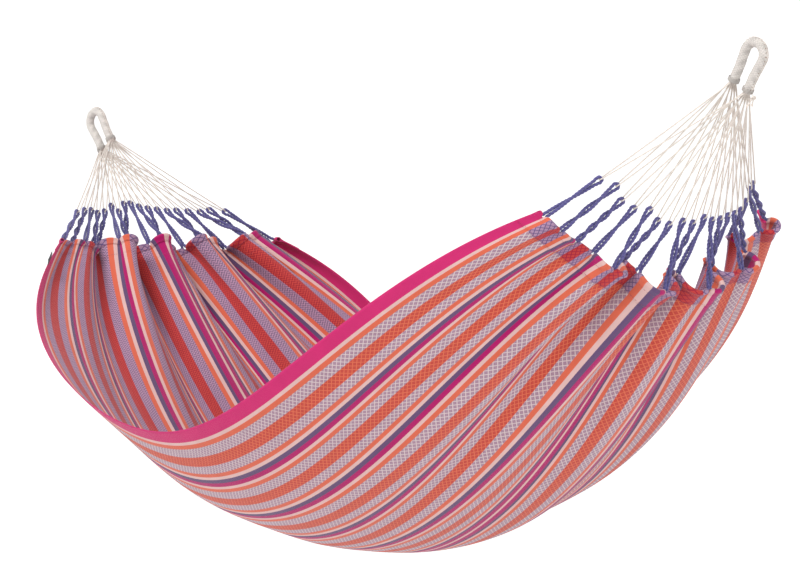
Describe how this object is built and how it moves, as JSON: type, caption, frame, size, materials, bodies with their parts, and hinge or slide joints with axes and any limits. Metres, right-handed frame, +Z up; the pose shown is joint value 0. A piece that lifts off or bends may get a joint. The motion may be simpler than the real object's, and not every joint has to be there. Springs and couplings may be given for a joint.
{
  "type": "cloth hammock",
  "caption": "Striped woven cloth hammock without spreader bars, gathered at both ends onto ropes and cords that run to sleeved hanging loops.",
  "frame": {"origin": "where the left end loop sits on its hook, at the inside top of the loop", "axes": "+X along the hammock towards the right end loop, +Z up, +Y towards the far side of the bed"},
  "size_m": [2.3584, 1.4745, 1.132],
  "materials": {
    "cloth": "plain and patterned cotton weave in lengthwise stripes",
    "hem": "turned and stitched hem of the same cloth",
    "rope": "twisted three-strand rope, violet blue",
    "cord": "thin off-white twisted cord",
    "sleeve": "off-white woven sleeve",
    "label": "blank woven label"
  },
  "bodies": {
    "end_loops": {"left_loop_core": "cord", "left_loop_sleeve": "sleeve", "left_binding_upper": "sleeve", "left_binding_lower": "sleeve", "right_loop_core": "cord", "right_loop_sleeve": "sleeve", "right_binding_upper": "sleeve", "right_binding_lower": "sleeve", "tie_knot": "cord"},
    "bed": {"bed_cloth": "cloth", "side_label": "label", "left_hem": "hem", "left_hem_rope": "rope", "left_cord_01": "cord", "left_cord_02": "cord", "left_cord_03": "cord", "left_cord_04": "cord", "left_cord_05": "cord", "left_cord_06": "cord", "left_cord_07": "cord", "left_cord_08": "cord", "left_cord_09": "cord", "left_cord_10": "cord", "left_cord_11": "cord", "left_cord_12": "cord", "left_cord_13": "cord", "left_cord_14": "cord", "left_cord_15": "cord", "left_cord_16": "cord", "left_cord_17": "cord", "left_cord_18": "cord", "right_hem": "hem", "right_hem_rope": "rope", "right_cord_01": "cord", "right_cord_02": "cord", "right_cord_03": "cord", "right_cord_04": "cord", "right_cord_05": "cord", "right_cord_06": "cord", "right_cord_07": "cord", "right_cord_08": "cord", "right_cord_09": "cord", "right_cord_10": "cord", "right_cord_11": "cord", "right_cord_12": "cord", "right_cord_13": "cord", "right_cord_14": "cord", "right_cord_15": "cord", "right_cord_16": "cord", "right_cord_17": "cord", "right_cord_18": "cord"}
  },
  "joints": [
    {"name": "swing", "type": "hinge", "parent": "end_loops", "child": "bed", "pos_m": [1.15, 0, -0.0793], "axis": [1, 0, 0], "range_deg": [-25, 25]}
  ]
}
